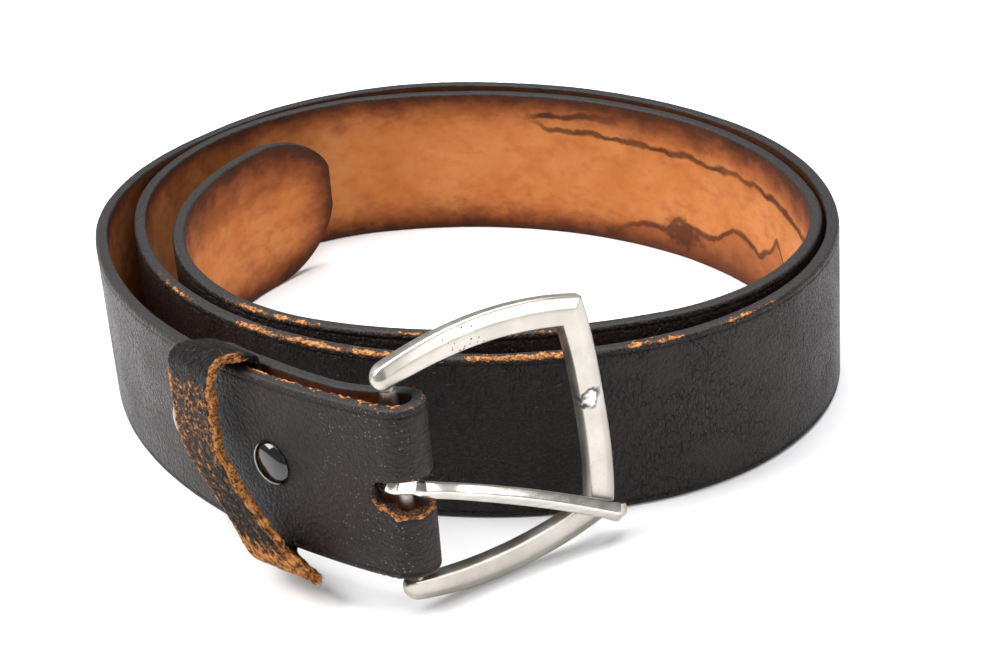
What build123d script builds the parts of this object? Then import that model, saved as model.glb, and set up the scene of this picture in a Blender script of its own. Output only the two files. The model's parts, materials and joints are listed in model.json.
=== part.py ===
from build123d import *

import os
from math import acos, atan2, cos, degrees, radians, sin

# Leather belt, coiled and standing on its edge, buckle at the front. Millimetres, +Z up, front is -Y.
# The origin ends up at the middle of the underside of the whole object.

# Strap
STRAP_WIDTH = 40.0
STRAP_THICKNESS = 3.0
LAYER_GAP = 2.4            # between the front layer and the folded-back flap
FOLD_RADIUS = 4.6          # centreline of the leather round the heel bar
FOLD_EASE_RADIUS = 30.0    # centreline where the flap closes up on the front layer
FLAP_REACH = 70.0          # from the start of the front layer to the flap's end
FLAP_ROUND = 20.0          # length of the flap's rounded end
FRONT_START = (-24.29, -124.57)
FRONT_HEADING = 146.44
# The coil's centreline from the fold to the tip: radius and clockwise turn of each tangent arc.
LIFTED_TURNS = [(165, 20.94), (149, 29), (82, 50)]
COIL_TURNS = [(73, 58), (114, 42), (85, 43), (64, 72), (98, 51), (95, 50), (61, 88),
              (106, 45), (92, 40), (53, 85), (115, 38), (66, 56), (66, 69)]
END_LIFT = 10.3            # how far the buckle holds the folded end off the ground
TIP_LENGTH = 22.0
TIP_CUT_DEPTH = 6.5        # either side, because the tip is curved

# Holes in the strap
SLOT_REACH = 5.0           # from the start of the front layer to the slot's end
SLOT_END_RADIUS = 3.9
SLOT_LENGTH = 30.0
FLAP_SLOT_REACH = 9.0
SLOT_CUT_DEPTH = 20.0      # through either side of the fold
SLOT_FLARE = 4.0           # length over which the slot widens to the fold
SLOT_ABOVE = 4.8           # at the fold
SLOT_BELOW = 5.9           # at the fold, where the tongue hangs
SCREW_PLACES = {"front": 31.5, "rear": 62.0}
SCREW_HOLE_RADIUS = 2.3
ADJUST_HOLE_RADIUS = 2.5
ADJUST_HOLE_COUNT = 5
ADJUST_HOLE_SPACING = 25.0
ADJUST_HOLE_FIRST = 95.0   # from the tip

# Chicago screws
HEAD_RADIUS = 5.2
HEAD_HEIGHT = 2.0
BARREL_RADIUS = 2.1
THREAD_RADIUS = 1.4
BACK_HEAD_RADIUS = 4.5
BACK_HEAD_HEIGHT = 1.4
SCREW_SLOT_WIDTH = 0.9
SCREW_SLOT_DEPTH = 0.7
SEAT_GAP = 0.15            # a flat head on curved leather

# Keeper loop
KEEPER_WIDTH = 13.0
KEEPER_THICKNESS = 1.5
KEEPER_PLACE = 46.7
KEEPER_SKEW = 6.0
KEEPER_EDGE_GAP = 2.4      # past the strap's edges
KEEPER_CORNER = 3.2        # inside
KEEPER_STAND_OFF = 4.6     # in front of the strap
KEEPER_EASE = 0.15         # inner leg moved back, because the layers curve away from it

# Buckle
BAR_RADIUS = 1.9
BAR_TENON_RADIUS = 1.4
BAR_TENON_LENGTH = 3.0
BAR_SHIFT = 0.6            # from the middle of the fold, away from the coil's far side
FRAME_REACH = 47.3         # bar to the outer corners
FRAME_BAR_HALF = 26.5      # half height outside at the bar
FRAME_INNER_HALF = 21.8    # half height inside at the bar
FRAME_CORNER_HALF = 26.0
FRAME_CORNER_INNER = (41.5, 21.2)
ARM_BOW = 4.0
FRONT_BOW = 2.5
FRONT_INNER_BOW = 2.0
FRAME_DEPTH = 4.6
KNOB_REACH = 3.4
FRAME_TURN = 30.5          # heading of the frame from the bar
FRAME_LEAN_LEFT = 3.0
FRAME_LEAN_BACK = 2.5
PRESS_CLEARANCE = 0.01

# Tongue
EYE_LENGTH = 6.6           # inside
EYE_DEPTH = 4.1            # inside
EYE_WALL = 1.2
EYE_WIDTH = 4.0
TONGUE_SLANT = 22.0        # the tongue hangs below the middle of the frame
TONGUE_LENGTH = 56.5
TONGUE_WIDTH = 4.2
TONGUE_THICKNESS = 2.8
TONGUE_REST_GAP = 0.25     # over the front bar
STEP_START = 1.0           # where the blade steps up from the flat root beside the bar
STEP_END = 4.5
STEM_END = 6.5
TONGUE_BEND = 6.0          # sideways, where the blade has been bent beyond its root

BIG = 400.0


def unit(heading):
    """Flat unit vector at a heading in degrees."""
    return Vector(cos(radians(heading)), sin(radians(heading)))


def walk(point, heading, turns):
    """Start, middle and end stations of each tangent arc; a turn above zero goes left."""
    arcs = []
    for radius, turn in turns:
        side = 90 if turn > 0 else -90
        centre = point + unit(heading + side) * radius
        arc = []
        for share in (0, 0.5, 1):
            now = heading + share * turn
            arc.append((centre - unit(now + side) * radius, now))
        arcs.append(arc)
        point, heading = arc[-1]
    return arcs


def clockwise(turns):
    return [(radius, -turn) for radius, turn in turns]


def band(arcs, thickness):
    """Flat outline of a band of even thickness about the arcs."""
    def side(arc, offset):
        return ThreePointArc(*(point + unit(heading + 90) * offset for point, heading in arc))

    left = [side(arc, thickness / 2) for arc in arcs]
    right = [side(arc, -thickness / 2) for arc in arcs]
    caps = [Line(left[0] @ 0, right[0] @ 0), Line(left[-1] @ 1, right[-1] @ 1)]
    return make_face([line.edge() for line in left + right + caps])


def fold_turns():
    """Arcs that run back from the front layer's start: round the bar, easing in, then the flap."""
    front_radius = LIFTED_TURNS[0][0]
    flap_radius = front_radius - STRAP_THICKNESS - LAYER_GAP
    to_fold = front_radius - FOLD_RADIUS
    to_ease = flap_radius - FOLD_EASE_RADIUS
    between = FOLD_EASE_RADIUS + FOLD_RADIUS
    at_coil = degrees(acos((to_fold**2 + to_ease**2 - between**2) / (2 * to_fold * to_ease)))
    at_fold = degrees(acos((to_fold**2 + between**2 - to_ease**2) / (2 * to_fold * between)))
    flap_turn = degrees(FLAP_REACH / front_radius) - at_coil
    return [(FOLD_RADIUS, 180 + at_fold), (FOLD_EASE_RADIUS, -at_fold - at_coil),
            (flap_radius, -flap_turn)]


START = Vector(*FRONT_START)
LIFTED_ARCS = walk(START, FRONT_HEADING, clockwise(LIFTED_TURNS))
JOIN, JOIN_HEADING = LIFTED_ARCS[-1][-1]
COIL_ARCS = walk(JOIN, JOIN_HEADING, clockwise(COIL_TURNS))
FOLD_ARCS = walk(START, FRONT_HEADING + 180, fold_turns())
FALL = JOIN - START
FALL_HEADING = degrees(atan2(FALL.Y, FALL.X))
SLOPE = degrees(atan2(END_LIFT, FALL.length))


def lift(point):
    """Height of the strap's lower edge on the sloping end."""
    return END_LIFT * (1 - (point - START).dot(unit(FALL_HEADING)) / FALL.length)


def front_plane(distance, offset=0.0):
    """Plane at a distance along the front layer: x along the strap, y up, z out of its face."""
    radius = LIFTED_TURNS[0][0]
    heading = FRONT_HEADING - degrees(distance / radius)
    centre = START + unit(FRONT_HEADING - 90) * radius
    point = centre + unit(heading + 90) * radius
    origin = point + unit(heading + 90) * offset
    height = lift(point) + STRAP_WIDTH / 2
    return Plane(origin=(origin.X, origin.Y, height), x_dir=unit(heading + 180), z_dir=unit(heading + 90))


def sloping_end():
    """Front layer, fold and flap, with parallel edges that rise towards the buckle."""
    outline = band(LIFTED_ARCS, STRAP_THICKNESS) + band(FOLD_ARCS, STRAP_THICKNESS)
    walls = extrude(Pos(0, 0, -STRAP_WIDTH) * outline, 3 * STRAP_WIDTH)
    along = unit(FALL_HEADING) * cos(radians(SLOPE)) - Vector(0, 0, sin(radians(SLOPE)))
    across = unit(FALL_HEADING) * sin(radians(SLOPE)) + Vector(0, 0, cos(radians(SLOPE)))
    floor = Plane(origin=(JOIN.X, JOIN.Y, 0), x_dir=along, z_dir=across)
    slab = extrude(floor * Rectangle(BIG, BIG), STRAP_WIDTH * cos(radians(SLOPE)))
    above_ground = extrude(Rectangle(BIG, BIG), BIG)
    return walls & slab & above_ground


def flap_cutter():
    """What is cut away to leave a half-oval end on the flap."""
    plane = front_plane(FLAP_REACH - FLAP_ROUND / 2, -(STRAP_THICKNESS + LAYER_GAP) / 2)
    oval = plane * Pos(FLAP_ROUND / 2, 0) * Ellipse(FLAP_ROUND, STRAP_WIDTH / 2)
    blank = plane * Rectangle(FLAP_ROUND + 1, STRAP_WIDTH + 4)
    return extrude(blank - oval, -2 * (STRAP_THICKNESS + LAYER_GAP))


def slot_cutter():
    """Tongue slot: a round end in the front layer, a flare round the fold, and a longer end in the flap."""
    inside = -FOLD_RADIUS
    flare = Polyline((0, SLOT_END_RADIUS), (SLOT_FLARE, SLOT_ABOVE), (SLOT_LENGTH, SLOT_ABOVE),
                     (SLOT_LENGTH, -SLOT_BELOW), (SLOT_FLARE, -SLOT_BELOW), (0, -SLOT_END_RADIUS), close=True)
    front = Circle(SLOT_END_RADIUS) + make_face(flare.edges())
    height = SLOT_ABOVE + SLOT_BELOW
    back = Pos(SLOT_LENGTH / 2, SLOT_ABOVE - height / 2) * Rectangle(SLOT_LENGTH, height)
    front_cut = extrude(front_plane(SLOT_REACH - SLOT_END_RADIUS, inside) * front, SLOT_CUT_DEPTH)
    back_cut = extrude(front_plane(FLAP_SLOT_REACH, inside) * back, -SLOT_CUT_DEPTH)
    return front_cut + back_cut


def tip_cutter():
    """What is cut away to leave a half-oval tip."""
    end, heading = COIL_ARCS[-1][-1]
    middle = Vector(end.X, end.Y, STRAP_WIDTH / 2) - unit(heading) * TIP_LENGTH
    plane = Plane(origin=middle, x_dir=unit(heading), z_dir=unit(heading + 90))
    oval = plane * Ellipse(TIP_LENGTH + 1, STRAP_WIDTH / 2)
    blank = plane * Pos(TIP_LENGTH / 2 + 0.5, 0) * Rectangle(TIP_LENGTH + 1, STRAP_WIDTH + 2)
    return extrude(blank - oval, TIP_CUT_DEPTH, both=True)


def adjust_holes():
    """Punched holes near the tip, along the strap's middle."""
    holes = []
    distance = sum(radius * radians(turn) for radius, turn in COIL_TURNS)
    targets = [distance - ADJUST_HOLE_FIRST - i * ADJUST_HOLE_SPACING for i in range(ADJUST_HOLE_COUNT)]
    for target in targets:
        point, heading, left = JOIN, JOIN_HEADING, target
        for radius, turn in COIL_TURNS:
            share = min(1, left / (radius * radians(turn)))
            point, heading = walk(point, heading, [(radius, -turn * share)])[0][-1]
            left -= radius * radians(turn) * share
        plane = Plane(origin=(point.X, point.Y, STRAP_WIDTH / 2), z_dir=unit(heading + 90))
        holes.append(extrude(plane * Circle(ADJUST_HOLE_RADIUS), STRAP_THICKNESS, both=True))
    return holes


def strap():
    coil = extrude(band(COIL_ARCS, STRAP_THICKNESS), STRAP_WIDTH) - tip_cutter()
    for hole in adjust_holes():
        coil = coil - hole
    end = sloping_end() - flap_cutter() - slot_cutter()
    for distance in SCREW_PLACES.values():
        end = end - extrude(front_plane(distance) * Circle(SCREW_HOLE_RADIUS), 12, both=True)
    return coil + end


def stack_depth():
    """From the front layer's centreline to the back of the flap."""
    return STRAP_THICKNESS / 2 + LAYER_GAP + STRAP_THICKNESS


def screw_post(distance):
    """Domed head with a hollow barrel through both layers."""
    plane = front_plane(distance, STRAP_THICKNESS / 2 + 0.02)
    head = fillet((plane * extrude(Circle(HEAD_RADIUS), HEAD_HEIGHT)).edges().group_by(
        lambda edge: (edge.center() - plane.origin).dot(plane.z_dir))[-1], HEAD_HEIGHT * 0.75)
    depth = STRAP_THICKNESS / 2 + stack_depth()
    barrel = plane * extrude(Circle(BARREL_RADIUS), -depth)
    bore = plane * Pos(0, 0, -depth) * extrude(Circle(THREAD_RADIUS), depth - 1)
    return head + barrel - bore


def back_screw(distance):
    """Slotted flat-head screw that enters the barrel from behind."""
    under_head = -(stack_depth() + SEAT_GAP)
    plane = front_plane(distance, under_head)
    head = plane * extrude(Circle(BACK_HEAD_RADIUS), -BACK_HEAD_HEIGHT)
    shank = plane * extrude(Circle(THREAD_RADIUS - PRESS_CLEARANCE), 5.0)
    slot_middle = Pos(0, 0, -BACK_HEAD_HEIGHT)
    slot = plane * slot_middle * Box(2 * BACK_HEAD_RADIUS + 1, SCREW_SLOT_WIDTH, 2 * SCREW_SLOT_DEPTH)
    return head + shank - slot


def keeper_loop():
    """Leather loop round the front layer, standing off its face and skewed."""
    inner_back = -(STRAP_THICKNESS / 2 + (LAYER_GAP - KEEPER_THICKNESS) / 2 + KEEPER_EASE)
    inner_front = STRAP_THICKNESS / 2 + KEEPER_STAND_OFF
    half_height = STRAP_WIDTH / 2 + KEEPER_EDGE_GAP
    depth = inner_front - inner_back
    middle = (inner_front + inner_back) / 2
    hollow = RectangleRounded(depth, 2 * half_height, KEEPER_CORNER)
    outside = RectangleRounded(depth + 2 * KEEPER_THICKNESS, 2 * (half_height + KEEPER_THICKNESS),
                               KEEPER_CORNER + KEEPER_THICKNESS)
    section = Plane.YZ * (outside - hollow)
    loop = extrude(section, KEEPER_WIDTH / 2, both=True)
    upright = Rot(90, 0, 0) * Pos(0, middle, 0) * loop
    return front_plane(KEEPER_PLACE) * Rot(0, 0, KEEPER_SKEW) * upright


def frame_plane():
    """Buckle's own frame: x from the bar to the front bar, y away from the wearer's side, z along the bar."""
    fold_middle = START + unit(FRONT_HEADING - 90) * FOLD_RADIUS
    origin = fold_middle + unit(FRONT_HEADING) * BAR_SHIFT
    height = lift(START) + STRAP_WIDTH / 2
    return Location((origin.X, origin.Y, height), (-FRAME_LEAN_BACK, -FRAME_LEAN_LEFT, FRAME_TURN))


def buckle_frame():
    """C-shaped casting: two bowed arms and a bowed front bar."""
    outer = [
        Line((-KNOB_REACH, FRAME_INNER_HALF), (-KNOB_REACH, FRAME_BAR_HALF)),
        ThreePointArc((-KNOB_REACH, FRAME_BAR_HALF),
                      (FRAME_REACH / 2, (FRAME_BAR_HALF + FRAME_CORNER_HALF) / 2 + ARM_BOW),
                      (FRAME_REACH, FRAME_CORNER_HALF)),
        ThreePointArc((FRAME_REACH, FRAME_CORNER_HALF), (FRAME_REACH + FRONT_BOW, 0),
                      (FRAME_REACH, -FRAME_CORNER_HALF)),
    ]
    inner_x, inner_z = FRAME_CORNER_INNER
    inner_top = ThreePointArc((-KNOB_REACH, FRAME_INNER_HALF),
                              (inner_x / 2, (FRAME_INNER_HALF + inner_z) / 2 + ARM_BOW * 0.7),
                              (inner_x, inner_z))
    inner_front = ThreePointArc((inner_x, inner_z), (inner_x + FRONT_INNER_BOW, 0), (inner_x, -inner_z))
    mirrored = [mirror(line, about=Plane.XZ) for line in (outer[0], outer[1], inner_top)]
    edges = [line.edge() for line in outer + [inner_top, inner_front] + mirrored]
    outline = make_face(edges)
    outline = fillet(outline.vertices().filter_by(lambda v: v.X < 0 and abs(v.Y) > FRAME_BAR_HALF - 1), 2.4)
    outline = fillet(outline.vertices().filter_by(lambda v: v.X > FRAME_REACH - 1), 2.0)
    body = extrude(Plane.XZ * outline, FRAME_DEPTH / 2, both=True)
    front_edges = body.edges().filter_by(lambda edge: edge.center().Y < -FRAME_DEPTH / 2 + 0.01)
    body = chamfer(front_edges, 0.9)
    for side in (1, -1):
        hole = Pos(0, 0, side * FRAME_INNER_HALF) * extrude(
            Circle(BAR_TENON_RADIUS + PRESS_CLEARANCE), BAR_TENON_LENGTH, both=True)
        body = body - hole
    return body


def buckle_bar():
    """Round heel bar with a tenon at each end."""
    half = FRAME_INNER_HALF - 0.3
    bar = extrude(Circle(BAR_RADIUS), half, both=True)
    return bar + extrude(Circle(BAR_TENON_RADIUS), FRAME_INNER_HALF + BAR_TENON_LENGTH - 0.3, both=True)


def buckle_tongue():
    """Oval eye round the bar, and a blade that crosses the front bar and ends in a blunt hook."""
    hollow = SlotOverall(EYE_LENGTH, EYE_DEPTH)
    rim = SlotOverall(EYE_LENGTH + 2 * EYE_WALL, EYE_DEPTH + 2 * EYE_WALL)
    eye = extrude(rim - hollow, EYE_WIDTH / 2, both=True)
    under = -(FRAME_DEPTH / 2 + TONGUE_REST_GAP)
    root = -(EYE_DEPTH / 2 + EYE_WALL)
    top = under - TONGUE_THICKNESS
    inside = -EYE_DEPTH / 2 - 0.2
    stem = Polyline((0, root), (STEP_START, root), (STEP_END, top), (STEM_END, top), (STEM_END, under),
                    (STEP_END, under), (STEP_START, inside), (0, inside), close=True)
    blade = Polyline((STEP_END, top), (TONGUE_LENGTH - 5, top), (TONGUE_LENGTH, top + 1.6),
                     (TONGUE_LENGTH, under + 0.6), (TONGUE_LENGTH - 4, under), (STEP_END, under), close=True)
    stem, blade = (extrude(make_face(line.edges()), TONGUE_WIDTH / 2, both=True) for line in (stem, blade))
    blade = Pos(STEP_END, 0, 0) * Rot(0, TONGUE_BEND, 0) * Pos(-STEP_END, 0, 0) * blade
    return Rot(0, TONGUE_SLANT, 0) * (eye + stem + blade)


def build():
    place = frame_plane()
    parts = {
        "strap": strap(),
        "buckle_frame": place * buckle_frame(),
        "buckle_bar": place * buckle_bar(),
        "buckle_tongue": place * buckle_tongue(),
        "keeper_loop": keeper_loop(),
    }
    for name, distance in SCREW_PLACES.items():
        parts[f"{name}_screw_post"] = screw_post(distance)
        parts[f"{name}_screw"] = back_screw(distance)
    boxes = [shape.bounding_box() for shape in parts.values()]
    low = [min(values) for values in zip(*(tuple(box.min) for box in boxes))]
    high = [max(values) for values in zip(*(tuple(box.max) for box in boxes))]
    shift = Pos(-(low[0] + high[0]) / 2, -(low[1] + high[1]) / 2, -low[2])
    return {name: shift * shape for name, shape in parts.items()}, shift


def main():
    os.makedirs("parts", exist_ok=True)
    parts, shift = build()
    for name, shape in parts.items():
        export_step(shape, f"parts/{name}.step")
    bar = shift * frame_plane()
    axis = Plane(bar).z_dir
    print("hinge point", bar.position, "axis", axis)
    centre = START + unit(FRONT_HEADING - 90) * LIFTED_TURNS[0][0] + shift.position
    print("keeper travels round", centre)


main()
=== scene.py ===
import json
import math

import bmesh
import bpy
import numpy as np
from mathutils import Matrix, Vector, noise


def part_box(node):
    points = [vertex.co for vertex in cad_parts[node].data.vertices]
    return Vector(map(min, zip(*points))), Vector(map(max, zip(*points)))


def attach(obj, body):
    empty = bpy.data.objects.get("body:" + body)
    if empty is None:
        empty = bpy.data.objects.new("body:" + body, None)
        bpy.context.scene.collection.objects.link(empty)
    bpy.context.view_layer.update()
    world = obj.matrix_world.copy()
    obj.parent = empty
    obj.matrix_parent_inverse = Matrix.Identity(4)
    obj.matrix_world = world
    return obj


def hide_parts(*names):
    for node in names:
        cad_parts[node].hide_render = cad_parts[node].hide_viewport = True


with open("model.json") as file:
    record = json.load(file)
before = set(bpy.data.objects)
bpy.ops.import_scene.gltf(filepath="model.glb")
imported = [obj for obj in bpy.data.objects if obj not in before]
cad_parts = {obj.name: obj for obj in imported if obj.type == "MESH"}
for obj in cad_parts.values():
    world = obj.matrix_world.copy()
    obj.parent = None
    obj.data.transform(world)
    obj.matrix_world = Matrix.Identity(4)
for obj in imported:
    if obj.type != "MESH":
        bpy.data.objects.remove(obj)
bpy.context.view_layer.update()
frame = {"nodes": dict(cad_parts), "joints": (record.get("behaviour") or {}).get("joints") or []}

# Shapes are worked out in millimetres, and go into meshes in metres.
MM = 0.001

# The strap's route, as in the CAD source: radius and turn of each tangent arc.
FRONT_START = (-24.29, -124.57)
FRONT_HEADING = 146.44
LIFTED_TURNS = [(165, -20.94), (149, -29), (82, -50)]
COIL_TURNS = [(73, -58), (114, -42), (85, -43), (64, -72), (98, -51), (95, -50), (61, -88),
              (106, -45), (92, -40), (53, -85), (115, -38), (66, -56), (66, -69)]
END_LIFT = 10.3
FOLD_RADIUS = 4.6
FOLD_EASE_RADIUS = 30.0
FLAP_REACH = 70.0            # from the start of the front layer
FLAP_ROUND = 20.0
LAYER_GAP = 2.4

# Strap section
WIDTH = 40.0
HALF_THICK = 1.5
GRAIN_CORNER = 1.0
FLESH_CORNER = 0.5
CREASE_INSET = 1.6           # pressed line beside each edge of the grain side
CREASE_HALF = 0.3
CREASE_DEPTH = 0.3
FACE_EDGE = 2.2              # the faces' inner rows start this far from the edges
TIP_LENGTH = 22.0
TIP_RISE = 2.5               # the tip's point lies above mid width by this
END_THINNING = (0.55, 0.88)  # thickness of the first and second row at both ends

# Holes
SLOT_CENTRE = 1.1            # middle of the slot's round end, along the front layer
SLOT_END_RADIUS = 3.3
SLOT_FLARE = 3.0             # length over which the slot widens
SLOT_ABOVE = 3.7
SLOT_BELOW = 4.9
FLAP_SLOT_EXTRA = 7.9        # how much further the slot runs in the flap
SLOT_STATIONS = (-44, 8)     # stretch of strap that holds both ends of the slot
SCREW_PLACES = {"front": 31.5, "rear": 62.0}
SCREW_HOLE_RADIUS = 2.3
ADJUST_HOLE_RADIUS = 2.5
ADJUST_HOLES_FROM_TIP = [95, 120, 145, 170, 195]
HOLE_MARGIN = 6.0            # half the stretch of strap searched for a round hole's rim

# Buckle
FRAME_TILT = (-2.5, -3.0, 30.5)  # degrees about X, Y and Z
TONGUE_SLANT = 22.0          # degrees that the whole tongue drops towards the lower arm
TONGUE_BEND = 6.0            # degrees that its blade drops further
BEND_START = 4.5             # from the bar's axis

RNG = np.random.default_rng(11)


# ---------------------------------------------------------------- the strap's route

def unit(heading):
    """Direction in plan of a heading in degrees."""
    angle = np.radians(heading)
    return np.stack([np.cos(angle), np.sin(angle)], axis=-1)


class Route:
    """Tangent arcs one after another; a turn above zero goes left."""

    def __init__(self, point, heading, turns):
        self.arcs = []
        self.length = 0.0
        self.end = np.array(point, float)
        for radius, turn in turns:
            side = 90 if turn > 0 else -90
            centre = self.end + unit(heading + side) * radius
            span = radius * math.radians(abs(turn))
            self.arcs.append((self.length, span, centre, radius, heading, turn, side))
            heading += turn
            self.end = centre - unit(heading + side) * radius
            self.length += span

    def at(self, distance):
        """Points and headings at distances along the route."""
        distance = np.asarray(distance, float)
        points = np.zeros(distance.shape + (2,))
        headings = np.zeros(distance.shape)
        for start, span, centre, radius, heading, turn, side in self.arcs:
            here = (distance >= start) | (start == 0)
            now = heading + turn * (distance - start) / span
            points[here] = (centre - unit(now + side) * radius)[here]
            headings[here] = now[here]
        return points, headings


def fold_turns():
    """Round the heel bar, then easing in to the flap behind the front layer."""
    front_radius = LIFTED_TURNS[0][0]
    flap_radius = front_radius - 2 * HALF_THICK - LAYER_GAP
    a = front_radius - FOLD_RADIUS
    b = flap_radius - FOLD_EASE_RADIUS
    c = FOLD_EASE_RADIUS + FOLD_RADIUS
    at_coil = math.degrees(math.acos((a * a + b * b - c * c) / (2 * a * b)))
    at_fold = math.degrees(math.acos((a * a + c * c - b * b) / (2 * a * c)))
    flap_turn = math.degrees(FLAP_REACH / front_radius) - at_coil
    return [(FOLD_RADIUS, 180 + at_fold), (FOLD_EASE_RADIUS, -at_fold - at_coil), (flap_radius, -flap_turn)]


AHEAD = Route(FRONT_START, FRONT_HEADING, LIFTED_TURNS + COIL_TURNS)
BEHIND = Route(FRONT_START, FRONT_HEADING + 180, fold_turns())
LIFTED = Route(FRONT_START, FRONT_HEADING, LIFTED_TURNS)
FALL = LIFTED.end - np.array(FRONT_START)
FALL_LENGTH = float(np.hypot(*FALL))


def centreline(distance):
    """Points, headings towards the tip and heights of the lower edge. Below zero is round the fold."""
    distance = np.asarray(distance, float)
    ahead, heading_ahead = AHEAD.at(np.maximum(distance, 0))
    behind, heading_behind = BEHIND.at(np.maximum(-distance, 0))
    folded = distance < 0
    point = np.where(folded[..., None], behind, ahead)
    heading = np.where(folded, heading_behind - 180, heading_ahead)
    along = (point - np.array(FRONT_START)) @ FALL / FALL_LENGTH**2
    rise = np.where(distance < LIFTED.length, np.maximum(END_LIFT * (1 - along), 0), 0)
    return point, heading, rise


def outline_low():
    """Lowest x and y of the strap's outline, before it is set in the row frame."""
    point, heading, _ = centreline(np.linspace(-BEHIND.length, AHEAD.length, 6000))
    normal = unit(heading + 90) * HALF_THICK
    return np.minimum(point + normal, point - normal).min(axis=0)


SHIFT = np.array(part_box("strap")[0][:2]) / MM - outline_low()


def on_strap(distance, height, offset):
    """Points in the row frame: along the strap, up from its lower edge, and out from its middle layer."""
    point, heading, rise = centreline(distance)
    flat = point + unit(heading + 90) * np.asarray(offset, float)[..., None] + SHIFT
    return np.concatenate([flat, (rise + height)[..., None]], axis=-1)


def matrix_of(x_dir, y_dir, z_dir, origin):
    """Matrix with these directions of its axes, and an origin in metres."""
    place = Matrix.Identity(4)
    for column, vector in enumerate((x_dir, y_dir, z_dir, origin)):
        place.col[column][:3] = vector
    return place


def on_strap_plane(distance, offset):
    """Matrix in metres at mid width: x along the strap, y up, z out of the grain side."""
    _, heading, _ = centreline(np.array([distance]))
    origin = on_strap(np.array([distance]), np.array([WIDTH / 2]), np.array([offset]))[0]
    return matrix_of((*unit(heading[0] + 180), 0), (0, 0, 1), (*unit(heading[0] + 90), 0), origin * MM)


# ---------------------------------------------------------------- mesh helpers

def smooth_step(value, low, high):
    """From 0 to 1 as the value goes from low to high, which may be the larger of the two."""
    share = np.clip((np.asarray(value, float) - low) / (high - low), 0, 1)
    return share * share * (3 - 2 * share)


def ripple(points, size, depth=3):
    """Fractal noise, about -1 to 1, at points in millimetres, with features of a size in millimetres."""
    flat = np.asarray(points, float).reshape(-1, 3) / size
    values = [noise.fractal(Vector(p), 1.0, 2.0, depth) for p in flat]
    return np.array(values).reshape(np.shape(points)[:-1])


def make_object(name, points, faces, materials, face_material=None, smooth=True):
    """New object from points in millimetres, with points that no face uses left out."""
    used = np.unique(np.concatenate([np.asarray(face) for face in faces]))
    renumber = np.full(len(points), -1)
    renumber[used] = np.arange(len(used))
    mesh = bpy.data.meshes.new(name)
    mesh.from_pydata((points[used] * MM).tolist(), [], [[int(renumber[i]) for i in face] for face in faces])
    for material in materials:
        mesh.materials.append(material)
    if face_material is not None:
        mesh.polygons.foreach_set("material_index", np.asarray(face_material, np.int32))
    mesh.polygons.foreach_set("use_smooth", np.full(len(mesh.polygons), smooth))
    mesh.update()
    piece = bpy.data.objects.new(name, mesh)
    bpy.context.scene.collection.objects.link(piece)
    return piece, used


def add_values(piece, used, **values):
    """Numbers at the used points of a grid, which materials read by name."""
    for name, grid in values.items():
        attribute = piece.data.attributes.new(name, "FLOAT", "POINT")
        attribute.data.foreach_set("value", np.asarray(grid, np.float32).reshape(-1)[used])


def add_places(piece, used, places):
    """Places in millimetres, which materials read in metres."""
    attribute = piece.data.attributes.new("place", "FLOAT_VECTOR", "POINT")
    attribute.data.foreach_set("vector", (places.reshape(-1, 3)[used] * MM).astype(np.float32).ravel())


def outline_normals(line):
    """Unit directions out of a closed outline that runs clockwise."""
    tangent = np.roll(line, -1, axis=0) - np.roll(line, 1, axis=0)
    tangent /= np.hypot(*tangent.T)[:, None]
    return np.stack([-tangent[:, 1], tangent[:, 0]], axis=1)


def rounded(corners, radii, steps=4):
    """Closed outline with each corner replaced by an arc-like run of points."""
    corners = np.array(corners, float)
    outline = []
    for i, corner in enumerate(corners):
        before = corners[i - 1] - corner
        after = corners[(i + 1) % len(corners)] - corner
        reach = min(radii[i], 0.45 * np.hypot(*before), 0.45 * np.hypot(*after))
        start = corner + before / np.hypot(*before) * reach
        end = corner + after / np.hypot(*after) * reach
        for share in np.linspace(0, 1, steps):
            outline.append((1 - share)**2 * start + 2 * share * (1 - share) * corner + share**2 * end)
    return np.array(outline)


def tube_faces(rows, around, closed=False):
    """Quads between the rows of points of a tube, and caps at both ends unless its ends meet."""
    faces = []
    for i in range(rows if closed else rows - 1):
        below = i * around
        above = (i + 1) % rows * around
        for k in range(around):
            after = (k + 1) % around
            faces.append([below + k, below + after, above + after, above + k])
    if not closed:
        faces.append(list(range(around))[::-1])
        faces.append([(rows - 1) * around + k for k in range(around)])
    return faces


def fix_normals(piece):
    """Turns every face outwards."""
    cage = bmesh.new()
    cage.from_mesh(piece.data)
    bmesh.ops.recalc_face_normals(cage, faces=cage.faces)
    cage.to_mesh(piece.data)
    cage.free()


# ---------------------------------------------------------------- material helpers

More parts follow.
